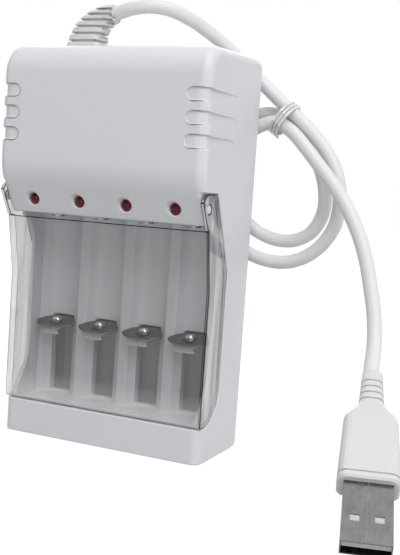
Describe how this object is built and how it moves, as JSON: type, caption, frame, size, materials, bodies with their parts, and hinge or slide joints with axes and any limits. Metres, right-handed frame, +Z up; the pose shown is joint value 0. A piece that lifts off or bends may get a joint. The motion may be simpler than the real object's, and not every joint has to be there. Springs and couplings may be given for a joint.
{
  "type": "battery charger",
  "caption": "Upright charger for AA and AAA cells with sprung sliding contacts, indicator lamps, a clear hinged cover and a captive USB cord.",
  "frame": {"origin": "on the surface it stands on, under the middle of the casing", "axes": "+Z up, the bays and the cover face -Y, +X to the right as seen from the front"},
  "size_m": [0.1356, 0.09, 0.1388],
  "materials": {
    "white_abs": "satin moulded",
    "clear_polycarbonate": "clear polished",
    "red_lens": "tinted lens",
    "nickel_plate": "bright plated",
    "spring_steel": "drawn wire",
    "zinc_screw": "zinc plated",
    "brass_strip": "stamped",
    "board_laminate": "solder mask",
    "black_epoxy": "moulded",
    "resistor_body": "dipped",
    "capacitor_can": "sleeved",
    "lead_insulation": "extruded",
    "white_pvc": "soft moulded",
    "tongue_plastic": "moulded"
  },
  "bodies": {
    "casing": {"front_housing": "white_abs", "rear_cover": "white_abs", "led_1": "red_lens", "led_2": "red_lens", "led_3": "red_lens", "led_4": "red_lens", "positive_contact_1": "nickel_plate", "positive_contact_2": "nickel_plate", "positive_contact_3": "nickel_plate", "positive_contact_4": "nickel_plate", "plug_shell": "nickel_plate", "slider_spring_1": "spring_steel", "slider_spring_2": "spring_steel", "slider_spring_3": "spring_steel", "slider_spring_4": "spring_steel", "case_screws": "zinc_screw", "board_screws": "zinc_screw", "negative_bus": "brass_strip", "plug_contacts": "brass_strip", "circuit_board": "board_laminate", "controller_chip": "black_epoxy", "charge_transistors": "black_epoxy", "charge_resistors": "resistor_body", "filter_capacitor": "capacitor_can", "power_leads": "lead_insulation", "strain_relief": "white_pvc", "cord": "white_pvc", "twist_tie": "white_pvc", "plug_overmould": "white_pvc", "plug_tongue": "tongue_plastic"},
    "cover": {"clear_cover": "clear_polycarbonate"},
    "slider_1": {"slider_contact_1": "nickel_plate"},
    "slider_2": {"slider_contact_2": "nickel_plate"},
    "slider_3": {"slider_contact_3": "nickel_plate"},
    "slider_4": {"slider_contact_4": "nickel_plate"}
  },
  "joints": [
    {"name": "cover_hinge", "type": "hinge", "parent": "casing", "child": "cover", "pos_m": [0, -0.0155, 0.0752], "axis": [-1, 0, 0], "range_deg": [0, 110]},
    {"name": "slider_1_slide", "type": "slide", "parent": "casing", "child": "slider_1", "axis": [0, 0, -1], "range_m": [0, 0.018], "stiffness_N_per_m": 100, "springref_m": -0.01, "deforming": ["slider_spring_1"]},
    {"name": "slider_2_slide", "type": "slide", "parent": "casing", "child": "slider_2", "axis": [0, 0, -1], "range_m": [0, 0.018], "stiffness_N_per_m": 100, "springref_m": -0.01, "deforming": ["slider_spring_2"]},
    {"name": "slider_3_slide", "type": "slide", "parent": "casing", "child": "slider_3", "axis": [0, 0, -1], "range_m": [0, 0.018], "stiffness_N_per_m": 100, "springref_m": -0.01, "deforming": ["slider_spring_3"]},
    {"name": "slider_4_slide", "type": "slide", "parent": "casing", "child": "slider_4", "axis": [0, 0, -1], "range_m": [0, 0.018], "stiffness_N_per_m": 100, "springref_m": -0.01, "deforming": ["slider_spring_4"]}
  ]
}
